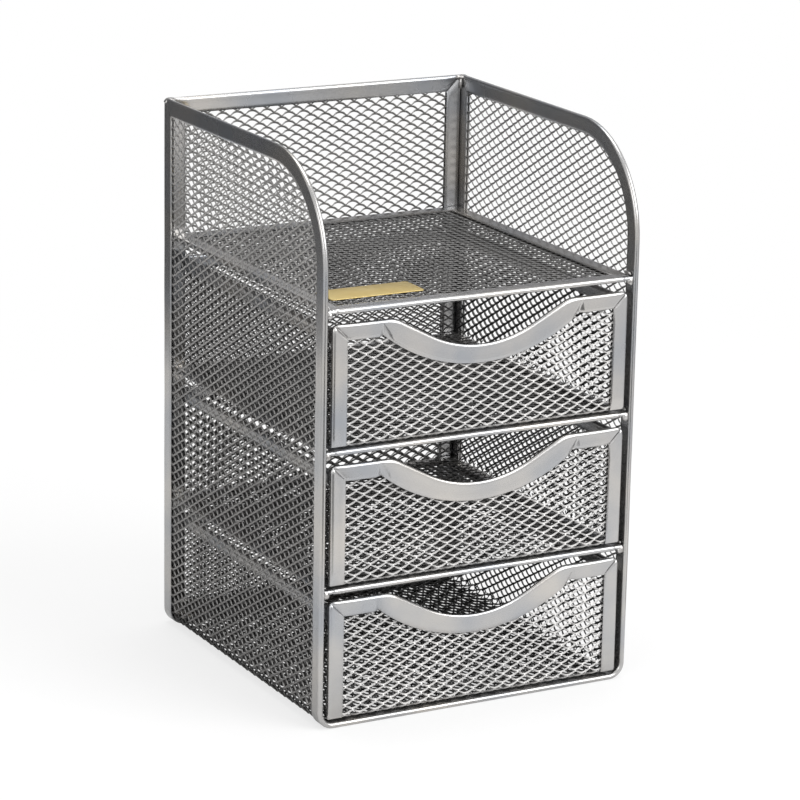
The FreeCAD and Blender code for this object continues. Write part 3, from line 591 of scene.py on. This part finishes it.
hem = {
    "width": 0.006,
    "half": 0.001,
    "sheet": 0.0006,
    # Share of the width from the outer edge, and how far the sheet draws in there
    "slopes": [
        (0.95, 0.0001), (0.8, 0.00005), (0.64, 0.00007), (0.48, 0.00007), (0.34, 0.00004), (0.24, 0.0),
    ],
    "slotStart": 0.3,      # share of the width that is closed
    "rollSteps": 8,
    "waver": 0.00007,
    "waverScale": 55.0,
    "lip": 0.0007,         # the free edges close in on the net
    "mouth": 0.0003,
    "endReach": 0.0008,    # the cut ends are pressed a little flatter
    "endMost": 0.4,
    "endShare": 0.62,
    "step": 0.006,
    "join": 0.000002,
    "smooth": 38.0,
}


def hemProfile(width):
    # Points as share of the width from the outer edge, and height across
    half, inner, slopes = hem["half"], hem["half"] - hem["sheet"], hem["slopes"]
    slot, mouth = hem["slotStart"], hem["mouth"]
    points = [(1.0, hem["lip"])] + [(share, half - pinch) for share, pinch in slopes]
    for step in range(hem["rollSteps"] + 1):
        angle = math.pi / 2 - math.pi * step / hem["rollSteps"]
        points.append((half / width * (1 - math.cos(angle)), half * math.sin(angle)))
    points += [(share, pinch - half) for share, pinch in reversed(slopes)] + [(1.0, -hem["lip"])]
    points += [(1.0, -mouth), (slot, -inner), (slot, inner), (1.0, mouth)]
    return points


def besideEnd(end, before):
    # A station close to a cut end, so that no more than the end itself is pressed
    longest = max((end[0] - before[0]).length, (end[1] - before[1]).length)
    share = min(hem["endMost"], hem["endReach"] / longest)
    return tuple(here.lerp(there, share) for here, there in zip(end, before))


def makeHem(name, body, solids, stations, dent=None, waver=hem["waver"], pressed=(True, True)):
    # Each station is its outer point, its inner point and the way across the strip
    deselectAll()
    profile = hemProfile(hem["width"])
    stations = list(stations)
    stations.insert(1, besideEnd(stations[0], stations[1]))
    stations.insert(-1, besideEnd(stations[-1], stations[-2]))
    count, around = len(stations), len(profile)
    bpy.ops.mesh.primitive_grid_add(x_subdivisions=count - 1, y_subdivisions=around)
    piece = bpy.context.object
    seed = Vector((len(name) * 3.1, 0, 0))
    for index, corner in enumerate(piece.data.vertices):
        station = index % count
        outer, inner, across = stations[station]
        share, height = profile[(index // count) % around]
        if (station == 0 and pressed[0]) or (station == count - 1 and pressed[1]):
            height *= hem["endShare"]
        middle = outer.lerp(inner, share)
        sway = noise.noise(middle * hem["waverScale"] + seed) * waver
        place = middle + across * (height + sway)
        if dent:
            place = place + dent(middle, share, height)
        corner.co = place
    bpy.ops.object.mode_set(mode="EDIT")
    bpy.ops.mesh.select_all(action="SELECT")
    bpy.ops.mesh.remove_doubles(threshold=hem["join"])
    bpy.ops.mesh.select_all(action="SELECT")
    bpy.ops.mesh.fill_holes(sides=0)
    bpy.ops.mesh.select_all(action="SELECT")
    bpy.ops.mesh.normals_make_consistent(inside=False)
    bpy.ops.object.mode_set(mode="OBJECT")
    bpy.ops.object.shade_smooth_by_angle(angle=math.radians(hem["smooth"]))
    return finishPiece(piece, name, "hemSilver", body, *solids)


def stretch(start, end, step=hem["step"]):
    # Evenly spaced points from start to end
    count = max(1, round((end - start).length / step))
    return [start.lerp(end, index / count) for index in range(count + 1)]


def straightHem(name, body, solid, outerEnds, innerEnds, across, shares=None, dent=None):
    outerEnds, innerEnds = [Vector(end) for end in outerEnds], [Vector(end) for end in innerEnds]
    if not shares:
        count = max(1, round((outerEnds[1] - outerEnds[0]).length / hem["step"]))
        shares = [index / count for index in range(count + 1)]
    outers = [outerEnds[0].lerp(outerEnds[1], share) for share in shares]
    inners = [innerEnds[0].lerp(innerEnds[1], share) for share in shares]
    return makeHem(name, body, [solid], [(a, b, Vector(across)) for a, b in zip(outers, inners)], dent)


# Cabinet

cabinet = {
    "width": 0.124,
    "depth": 0.127,
    "height": 0.199,
    "cornerRadius": 0.006,
    "shoulderRadius": 0.038,
    "hemWidth": 0.006,
    "netDepth": 0.001,        # from the outer face to the middle of the net
    "netInset": 0.002,        # from a strip's outer edge to the net's edge in it
    "seam": 0.0001,
    "shelfTops": {"lower_shelf": 0.0504, "upper_shelf": 0.0997, "tray": 0.149},
    "shelfSetback": 0.0006,
    "shelfStep": 0.01,
    "rearRound": 0.0016,
    "shoulderSteps": 16,
    "bendSteps": 8,
    "footSteps": 20,
    "footWaver": 0.00002,
    "backFootCut": 0.0025,    # the rail at the back's foot is narrower below, where the sides bend
}
halfWidth, halfDepth, height = cabinet["width"] / 2, cabinet["depth"] / 2, cabinet["height"]
hemWidth, netDepth, netInset = cabinet["hemWidth"], cabinet["netDepth"], cabinet["netInset"]
innerHalf = halfWidth - 2 * netDepth


def makeSides():
    radius = cabinet["cornerRadius"] - netDepth
    flat = halfWidth - cabinet["cornerRadius"]
    cut = flat + radius * math.pi / 2
    rows = math.floor(cut / (net["shortWay"] / 2)) + 0.5
    cut = rows * net["shortWay"] / 2
    length = cut + height - cabinet["cornerRadius"] - netInset
    edge = halfDepth - netInset
    shoulder = cabinet["shoulderRadius"]

    def fold(side, y, distance, w):
        x, z, nx, nz = rolled(side * distance, flat, radius)
        return Vector((x + nx * w, y, z + netDepth + nz * w))

    def heightAt(distance):
        return rolled(distance, flat, radius)[1] + netDepth

    def inShoulder(y, distance):
        z = heightAt(distance)
        away = math.hypot(y + halfDepth - shoulder, z - height + shoulder)
        return y > shoulder - halfDepth or z < height - shoulder or away < shoulder - netInset

    for name, side in (("left", -1), ("right", 1)):
        weaveNet(
            name + "SideNet", "cabinet", [name + "_side_net"], (-edge, edge), (cut, length),
            inShoulder, lambda u, v, w, side=side: fold(side, u, v, w), turned=side < 0,
        )
        outers, inners = [], []
        outerX = side * (halfWidth - netDepth)

        def at(y, z):
            return Vector((outerX, y, z))

        foot = cabinet["cornerRadius"]
        leg = stretch(at(-halfDepth, foot), at(-halfDepth, height - shoulder))
        outers += leg[:-1]
        inners += [at(-halfDepth + hemWidth, point.z) for point in leg[:-1]]
        centre = (shoulder - halfDepth, height - shoulder)
        for step in range(cabinet["shoulderSteps"] + 1):
            angle = math.pi / 2 * step / cabinet["shoulderSteps"]
            for points, reach in ((outers, shoulder), (inners, shoulder - hemWidth)):
                points.append(at(centre[0] - reach * math.cos(angle), centre[1] + reach * math.sin(angle)))
        seam, rounding = cabinet["seam"], cabinet["rearRound"]
        top = stretch(at(shoulder - halfDepth, height), at(halfDepth - hemWidth - seam, height))
        outers += top[1:]
        inners += [at(point.y, height - hemWidth) for point in top[1:]]
        for angle in (90, 75, 60, 45):
            turn = math.radians(angle)
            y, z = rounding * (1 - math.cos(turn)), rounding * (1 - math.sin(turn))
            outers.append(at(halfDepth - seam - y, height - z))
            inners.append(at(halfDepth - hemWidth - seam, height - hemWidth))
        across = Vector((side, 0, 0))
        makeHem(
            name + "FrontHem", "cabinet", [name + "_front_binding"],
            [(a, b, across) for a, b in zip(outers, inners)], pressed=(False, True),
        )
        outers = stretch(at(halfDepth, foot), at(halfDepth, height - hemWidth - seam))
        inners = [at(halfDepth - hemWidth, point.z) for point in outers]
        for angle in (0, 15, 30, 45):
            turn = math.radians(angle)
            y, z = rounding * (1 - math.cos(turn)), rounding * (1 - math.sin(turn))
            outers.append(at(halfDepth - y, height - seam - z))
            inners.append(inners[-1])
        makeHem(
            name + "RearHem", "cabinet", [name + "_rear_binding"],
            [(a, b, across) for a, b in zip(outers, inners)], pressed=(False, True),
        )
    bendSteps, footSteps = cabinet["bendSteps"], cabinet["footSteps"]
    bend = [flat + radius * math.pi / 2 * step / bendSteps for step in range(1, bendSteps + 1)]
    distances = [-distance for distance in reversed(bend)]
    distances += [flat * (2 * step / footSteps - 1) for step in range(footSteps + 1)] + bend
    for name, side in (("front", -1), ("rear", 1)):
        stations = []
        for distance in distances:
            x, z, nx, nz = rolled(distance, flat, radius)
            outer = Vector((x, side * halfDepth, z + netDepth))
            inner = Vector((x, side * (halfDepth - hemWidth), z + netDepth))
            stations.append((outer, inner, Vector((nx, 0, nz))))
        makeHem(
            name + "FootHem", "cabinet", [name + "_foot_binding"], stations,
            waver=cabinet["footWaver"], pressed=(False, False),
        )
    weaveNet(
        "floorNet", "cabinet", ["floor_net"], (-edge, edge), (-cut, cut),
        lambda u, v: True, lambda u, v, w: fold(1, u, v, w), finish="innerNetPaintedShade",
    )


makeSides()
print("sides and floor woven")


def makeBack():
    y = halfDepth - netDepth
    low, high = 2 * netDepth, height
    across = Vector((0, 1, 0))
    seam = cabinet["seam"]
    edge, window = innerHalf - netInset, innerHalf - hemWidth

    def corner(x, z):
        return Vector((x, y, z))

    weaveNet(
        "backNet", "cabinet", ["back_net"], (-edge, edge), (low + netInset, high - netInset),
        lambda u, v: True, lambda u, v, w: Vector((-u, y - w, v)), "back", True,
    )
    straightHem(
        "backTopHem", "cabinet", "back_top_rail",
        (corner(-innerHalf + seam, high), corner(innerHalf - seam, high)),
        (corner(seam - window, high - hemWidth), corner(window - seam, high - hemWidth)),
        across,
    )
    for name, side in (("left", -1), ("right", 1)):
        straightHem(
            "back" + name.capitalize() + "Hem", "cabinet", "back_%s_stile" % name,
            (corner(side * innerHalf, low + hemWidth + seam), corner(side * innerHalf, high - seam)),
            (corner(side * window, low + hemWidth + seam), corner(side * window, high - hemWidth - seam)),
            across,
        )
    straightHem(
        "backFootHem", "cabinet", "back_bottom_rail",
        (corner(cabinet["backFootCut"] - innerHalf, low), corner(innerHalf - cabinet["backFootCut"], low)),
        (corner(seam - innerHalf, low + hemWidth), corner(innerHalf - seam, low + hemWidth)),
        across,
    )


makeBack()


crimp = {
    "reach": 0.0042, "ramp": 0.0009, "squeeze": 0.14, "back": 0.0002,
    "ripple": 0.0001, "rippleAlong": 5200.0, "rippleUp": 90.0,
    "step": 0.0004, "steps": 14,
}


def railShares(length):
    # Close stations where the rail is crimped, wide ones between
    ends = [step * crimp["step"] for step in range(crimp["steps"])]
    count = round((length - 2 * ends[-1]) / hem["step"])
    middle = [ends[-1] + (length - 2 * ends[-1]) * step / count for step in range(1, count)]
    return [distance / length for distance in ends + middle + [length - end for end in reversed(ends)]]


def railCrimp(middle, share, heightAcross):
    # The last millimetres of a rail are squeezed flat for the weld, with a knuckle where the roll ends
    away = innerHalf - abs(middle.x)
    amount = min(1.0, max(0.0, (crimp["reach"] - away) / crimp["ramp"]))
    if not amount:
        return Vector((0, 0, 0))
    amount *= amount * (3 - 2 * amount)
    wave = math.sin(away * crimp["rippleAlong"] + middle.z * crimp["rippleUp"])
    ripple = crimp["ripple"] * wave * (1 - share)
    drop = heightAcross * crimp["squeeze"]
    return Vector((0, crimp["back"] * amount * (1 - share), amount * (ripple - drop)))


def makeShelves():
    front, back = cabinet["shelfSetback"] - halfDepth, halfDepth - 2 * netDepth
    across = Vector((0, 0, 1))
    seam = cabinet["seam"]
    edge, window = innerHalf - netInset, innerHalf - hemWidth
    outerPath = ((-innerHalf, front + seam), (-innerHalf, back), (innerHalf, back), (innerHalf, front + seam))
    innerPath = (
        (-window, front + hemWidth + seam), (-window, back - hemWidth),
        (window, back - hemWidth), (window, front + hemWidth + seam),
    )
    for prefix, top in cabinet["shelfTops"].items():
        z = top - netDepth
        words = prefix.split("_")
        label = words[0] + "Shelf" if len(words) > 1 else words[0]

        def corner(x, y):
            return Vector((x, y, z))

        weaveNet(
            label + "Net", "cabinet", [prefix + "_net"], (-edge, edge), (front + netInset, back - netInset),
            lambda u, v: True, lambda u, v, w: Vector((u, v, z + w)), finish="innerNetPaintedShade",
        )
        straightHem(
            label + "FrontRail", "cabinet", prefix + "_front_rail",
            (corner(-innerHalf, front), corner(innerHalf, front)),
            (corner(-window, front + hemWidth), corner(window, front + hemWidth)),
            across, railShares(2 * innerHalf), railCrimp,
        )
        outers, inners = [], []
        for index in range(3):
            along = stretch(corner(*outerPath[index]), corner(*outerPath[index + 1]), cabinet["shelfStep"])
            first, second = corner(*innerPath[index]), corner(*innerPath[index + 1])
            beside = [first.lerp(second, step / (len(along) - 1)) for step in range(len(along))]
            outers += along[1 if index else 0:]
            inners += beside[1 if index else 0:]
        stations = [(a, b, across) for a, b in zip(outers, inners)]
        makeHem(label + "Frame", "cabinet", [prefix + "_frame"], stations)


makeShelves()
print("back and shelves hemmed")


# Drawers

drawer = {
    "lift": 0.0003,
    "sideGap": 0.0018,
    "front": 0.0005 - cabinet["depth"] / 2,
    "depth": 0.1205,
    "top": 0.0437,
    "sideDrop": 0.002,
    "trimHeight": 0.005,
    "stileWidth": 0.0058,
    "stileLift": 0.0011,
    "stileSteps": 8,
    "bandHeight": 0.00575,
    "bandStep": 0.0016,
    "pleatStep": 0.0004,
    "pleatSpan": (-0.043, -0.0345),
    "frontCorner": 0.0025,
    "frontWaver": 0.00006,
    "scoopHalf": 0.0366,
    "scoopDepth": 0.0127,
    "scoopRadius": 0.042,
    "scoopShoulder": 0.01,
    "kinkHalf": 0.0382,
    "kinkDepth": 0.0135,
    "grip": 0.0035,
    "corner": 0.003,
    "netSink": 0.45,        # how far the turned net's middle lies above the base, as share of netDepth
    "cornerSlope": 0.8,
    "floorNetEnd": 0.0015,
    "sideNetEnds": (0.0025, 0.001),
    "backNetLow": 0.0008,
    "supports": {"bottom_drawer": 0.002, "middle_drawer": 0.0504, "top_drawer": 0.0997},
}
drawerHalf = innerHalf - drawer["sideGap"]
sideTop = drawer["top"] - drawer["sideDrop"]


def scoopEdge(x):
    # Height of the front's upper edge
    half, depth = drawer["scoopHalf"], drawer["scoopDepth"]
    wide, tight, top = drawer["scoopRadius"], drawer["scoopShoulder"], drawer["top"]
    reach = wide + tight
    run = math.sqrt(half ** 2 + (depth - reach) ** 2 - reach ** 2)
    slope = math.atan2(depth - reach, half) - math.atan2(-reach, run)
    x = abs(x)
    if x >= half:
        return top
    if x >= half - tight * math.sin(slope):
        return top - tight + math.sqrt(tight ** 2 - (half - x) ** 2)
    if x <= wide * math.sin(slope):
        return top - depth + wide - math.sqrt(wide ** 2 - x ** 2)
    low = top - depth + wide * (1 - math.cos(slope))
    return low + (x - wide * math.sin(slope)) * math.tan(slope)


def windowEdge(x, lift=0.0):
    # Height of the band's lower edge, sharp at the kinks and one wide arc between them
    half, dip = drawer["kinkHalf"], drawer["kinkDepth"]
    edge = drawer["top"] - drawer["bandHeight"] + lift
    if abs(x) >= half:
        return edge
    radius = (half ** 2 + dip ** 2) / (2 * dip)
    return edge - dip + radius - math.sqrt(radius ** 2 - x ** 2)


def frontStations(y, base):
    # Up the left stile, round the corner, along the band to the middle; the other half is its mirror image
    half, stile = drawerHalf, drawer["stileWidth"]
    top, band, radius = drawer["top"], drawer["top"] - drawer["bandHeight"], drawer["frontCorner"]
    pairs = []
    low = drawer["stileLift"]
    for step in range(drawer["stileSteps"]):
        z = low + (band - low) * step / drawer["stileSteps"]
        pairs.append(((-half, z), (stile - half, z)))
    inner = (stile - half, band)
    for z in (band, band + drawer["bandStep"], top - radius):
        pairs.append(((-half, z), inner))
    for angle in (15, 30, 39, 43.5, 45, 46.5, 51, 60, 75, 90):
        turn = math.radians(angle)
        x = radius - half - radius * math.cos(turn)
        pairs.append(((x, top - radius + radius * math.sin(turn)), inner))
    for x in (radius - half + 0.0017, stile - half):
        pairs.append(((x, top), inner))
    x = stile - half
    pleatStart, pleatEnd = drawer["pleatSpan"]
    while x < -0.0005:
        x += drawer["pleatStep"] if pleatStart < x < pleatEnd else drawer["bandStep"]
        x = min(x, 0.0)
        pairs.append(((x, scoopEdge(x)), (x, windowEdge(x))))
    if pairs[-1][0][0] < 0:
        pairs.append(((0, scoopEdge(0)), (0, windowEdge(0))))
    mirrored = [((-a[0], a[1]), (-b[0], b[1])) for a, b in reversed(pairs[:-1])]
    stations = []
    for (outerX, outerZ), (innerX, innerZ) in pairs + mirrored:
        outer, inner = Vector((outerX, y, base + outerZ)), Vector((innerX, y, base + innerZ))
        stations.append((outer, inner, Vector((0, -1, 0))))
    return stations


dents = {
    "depth": 0.0011, "width": 0.0024, "height": 0.0052, "lean": 0.25,
    "seam": 0.0003, "seamWidth": 0.00033, "seamRise": 0.001, "lap": 0.0003, "lapReach": 0.0028,
    "drift": 0.00022, "driftAcross": 70.0, "driftUp": 45.0, "rollShare": 0.12,
}


def frontDent(y, base):
    band, kink = drawer["top"] - drawer["bandHeight"], drawer["kinkHalf"]
    window = drawerHalf - drawer["stileWidth"]

    def dent(middle, share, heightAcross):
        if heightAcross <= 0:
            return Vector((0, 0, 0))
        x, z = abs(middle.x), middle.z - base
        # The strip is nipped into a pleat where it was bent down into the scoop
        left = 1 - max(0.0, z - band) / dents["height"]
        inward = 0.0
        if left > 0:
            beside = abs(x - kink - (z - band) * dents["lean"]) / (dents["width"] * left)
            inward += dents["depth"] * left * max(0.0, 1 - beside)
        # Mitre seam from the outer corner to the window's corner
        alongSeam = (x - window) - (z - band) * drawer["stileWidth"] / drawer["bandHeight"]
        if x > window and z > band:
            rise = min(1.0, (z - band) / dents["seamRise"])
            inward += dents["seam"] * math.exp(-(alongSeam / dents["seamWidth"]) ** 2) * rise
        if z > band and alongSeam < 0:
            inward += dents["lap"] * math.exp(alongSeam / dents["lapReach"])
        inward += dents["drift"] * math.sin(x * dents["driftAcross"] + z * dents["driftUp"])
        inward *= min(1.0, share / dents["rollShare"])
        return Vector((0, inward, 0))

    return dent


def makeDrawer(body, support):
    words = body.split("_")[0]
    base = support + drawer["lift"]
    front, depth = drawer["front"], drawer["depth"]
    back = front + depth
    frontY = front + netDepth
    makeHem(
        words + "FrontFrame", body, [body + "_front_frame"], frontStations(frontY, base),
        dent=frontDent(frontY, base), waver=drawer["frontWaver"],
    )
    bend = drawer["corner"] - netDepth
    frontFlat, floorFlat = depth / 2 - drawer["corner"], drawerHalf - drawer["corner"]
    middle = front + depth / 2
    netHalf = drawerHalf - netInset
    sink = netDepth * drawer["netSink"]

    def foldFront(u, v, w):
        y, z, ny, nz = rolled(-v, frontFlat, bend)
        return Vector((u, middle + y + ny * w, base + z + sink + nz * w))

    def upToBand(u, v):
        z = rolled(-v, frontFlat, bend)[1]
        if z < drawer["corner"]:
            return abs(u) < netHalf - (drawer["corner"] - z) * drawer["cornerSlope"]
        return z < windowEdge(u, drawer["grip"])

    frontLength = frontFlat + bend * math.pi / 2 + drawer["top"]
    weaveNet(
        words + "FrontNet", body, [body + "_front_net"], (-netHalf, netHalf), (frontFlat, frontLength),
        upToBand, foldFront, "front", finish="frontNetPaintedLight",
    )

    def foldFloor(u, v, w):
        x, z, nx, nz = rolled(u, floorFlat, bend)
        return Vector((x + nx * w, middle + v, base + z + sink + nz * w))

    floorReach = floorFlat + bend * math.pi / 2
    weaveNet(
        words + "FloorNet", body, [body + "_floor_net"],
        (-floorReach, floorReach), (-frontFlat, depth / 2 - drawer["floorNetEnd"]),
        lambda u, v: True, foldFloor, turned=True, finish="innerNetPaintedShade",
    )
    trimLow = sideTop - drawer["trimHeight"]
    frontEnd, backEnd = drawer["sideNetEnds"]
    for name, side in (("left", -1), ("right", 1)):
        x = side * (drawerHalf - netDepth)
        weaveNet(
            words + name.capitalize() + "Net", body, ["%s_%s_net" % (body, name)],
            (front + frontEnd, back - backEnd), (drawer["corner"], sideTop - netInset),
            lambda u, v: True, lambda u, v, w, x=x, side=side: Vector((x + side * w, u, base + v)),
            turned=side < 0, finish="innerNetPaintedShade",
        )
        straightHem(
            words + name.capitalize() + "Trim", body, "%s_%s_trim" % (body, name),
            ((x, front + 2 * netDepth, base + sideTop), (x, back, base + sideTop)),
            ((x, front + 2 * netDepth, base + trimLow), (x, back, base + trimLow)),
            (side, 0, 0),
        )
    across = drawerHalf - 2 * netDepth
    backY = back - netDepth
    weaveNet(
        words + "BackNet", body, [body + "_back_net"],
        (-across, across), (drawer["backNetLow"], sideTop - netInset),
        lambda u, v: True, lambda u, v, w: Vector((u, backY + w, base + v)),
        turned=True, finish="innerNetPaintedShade",
    )
    straightHem(
        words + "BackTrim", body, body + "_back_trim",
        ((-across, backY, base + sideTop), (across, backY, base + sideTop)),
        ((-across, backY, base + trimLow), (across, backY, base + trimLow)),
        (0, 1, 0),
    )


for body, support in drawer["supports"].items():
    makeDrawer(body, support)
print("drawers folded")


# Gold tag plate on the tray

tag = {
    "thickness": 0.00032, "corner": 0.001, "cornerSteps": 5,
    "edge": 0.00007, "edgeSteps": 2, "smooth": 30.0,
}


def makeTag():
    low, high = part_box("tag_plate")
    high = Vector((high.x, high.y, low.z + tag["thickness"]))
    low = Vector(low)
    deselectAll()
    bpy.ops.mesh.primitive_plane_add(size=1)
    plate = bpy.context.object
    bpy.ops.object.mode_set(mode="EDIT")
    bpy.ops.transform.resize(value=(high.x - low.x, high.y - low.y, 1))
    bpy.ops.transform.translate(value=((low.x + high.x) / 2, (low.y + high.y) / 2, low.z))
    bpy.ops.mesh.bevel(offset=tag["corner"], segments=tag["cornerSteps"], affect="VERTICES")
    bpy.ops.mesh.select_all(action="SELECT")
    bpy.ops.mesh.extrude_region_move(TRANSFORM_OT_translate={"value": (0, 0, tag["thickness"])})
    bpy.ops.mesh.select_all(action="SELECT")
    bpy.ops.mesh.normals_make_consistent(inside=False)
    pick(plate, "EDGE", lambda place: place.z > high.z - tag["thickness"] / 2)
    bpy.ops.mesh.bevel(offset=tag["edge"], segments=tag["edgeSteps"], affect="EDGES")
    bpy.ops.object.mode_set(mode="OBJECT")
    bpy.ops.object.shade_smooth_by_angle(angle=math.radians(tag["smooth"]))
    finishPiece(plate, "tagPlate", "tagGold", "cabinet", "tag_plate")


makeTag()


# Weld beads: small uneven runs of weld with a little spatter, where the solids have theirs

welds = {
    "rings": 10, "turns": 14, "join": 0.00001, "lump": 0.22, "lumpScale": 3.1,
    "spatter": 3, "spatterSize": 0.00032, "spatterReach": 0.42, "spatterShift": 0.0002,
    "spatterSpread": 0.28, "spatterScale": 3.7,
    "cap": (0.005, 0.0034, 0.0021),    # run laid over each rear corner of the rim
    "capDrop": 0.0009,
    "capBack": 0.0016,
    "railEnd": (0.0029, 0.0026, 0.0033),    # lump that joins each end of a front rail to the leg
    "railInset": 0.0008,
    "railBack": 0.0011,
    "railDrop": 0.0019,
}


def addBlob(centre, size, seed):
    deselectAll()
    bpy.ops.mesh.primitive_uv_sphere_add(segments=welds["turns"], ring_count=welds["rings"], radius=0.5)
    blob = bpy.context.object
    for corner in blob.data.vertices:
        lump = 1 + welds["lump"] * noise.noise(corner.co * welds["lumpScale"] + Vector((seed, seed * 0.7, 0)))
        corner.co = centre + Vector((corner.co.x * size.x, corner.co.y * size.y, corner.co.z * size.z)) * lump
    for face in blob.data.polygons:
        face.use_smooth = True
    return blob


def makeWelds(node, name, body):
    deselectAll()
    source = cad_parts[node]
    source.hide_set(False)
    source.select_set(True)
    bpy.context.view_layer.objects.active = source
    bpy.ops.object.duplicate()
    bpy.ops.object.mode_set(mode="EDIT")
    bpy.ops.mesh.select_all(action="SELECT")
    bpy.ops.mesh.remove_doubles(threshold=welds["join"])
    bpy.ops.mesh.separate(type="LOOSE")
    bpy.ops.object.mode_set(mode="OBJECT")
    runs = []
    for run in list(bpy.context.selected_objects):
        corners = [run.matrix_world @ vertex.co for vertex in run.data.vertices]
        low = Vector([min(corner[axis] for corner in corners) for axis in range(3)])
        high = Vector([max(corner[axis] for corner in corners) for axis in range(3)])
        runs.append((low, high))
        bpy.data.objects.remove(run)
    runs.sort(key=lambda run: tuple(round(value, 5) for value in run[0]))
    blobs = []
    for index, (low, high) in enumerate(runs):
        centre, size = (low + high) / 2, high - low
        blobs.append(addBlob(centre, size, index * 5.3 + len(name)))
        long = max(range(3), key=lambda axis: size[axis])
        for step in range(welds["spatter"]):
            way = Vector((0, 0, 0))
            way[long] = (step - 1) * welds["spatterReach"] * size[long] + welds["spatterShift"] * (index % 2)
            stray = [noise.noise(Vector((index, step, axis)) * welds["spatterScale"]) for axis in range(3)]
            grain = Vector([welds["spatterSpread"] * size[axis] * stray[axis] for axis in range(3)])
            small = welds["spatterSize"] * (2 + step % 2)
            blobs.append(addBlob(centre + way + grain, Vector((small, small, small)), step + index))
    if node == "weld_beads":
        for side in (-1, 1):
            centre = Vector((side * innerHalf, halfDepth - welds["capBack"], height - welds["capDrop"]))
            blobs.append(addBlob(centre, Vector(welds["cap"]), side * 2.3))
            for top in cabinet["shelfTops"].values():
                y = cabinet["shelfSetback"] - halfDepth + welds["railBack"]
                centre = Vector((side * (innerHalf - welds["railInset"]), y, top - welds["railDrop"]))
                blobs.append(addBlob(centre, Vector(welds["railEnd"]), side * top * 30))
    deselectAll()
    for blob in blobs:
        blob.select_set(True)
    bpy.context.view_layer.objects.active = blobs[0]
    bpy.ops.object.join()
    finishPiece(bpy.context.object, name, "weldSilver", body, node)


makeWelds("weld_beads", "weldBeads", "cabinet")
for body in drawer["supports"]:
    makeWelds(body + "_tack_welds", body.split("_")[0] + "TackWelds", body)
print("welds run")

for shape in bondShapes.values():
    bpy.data.objects.remove(shape)
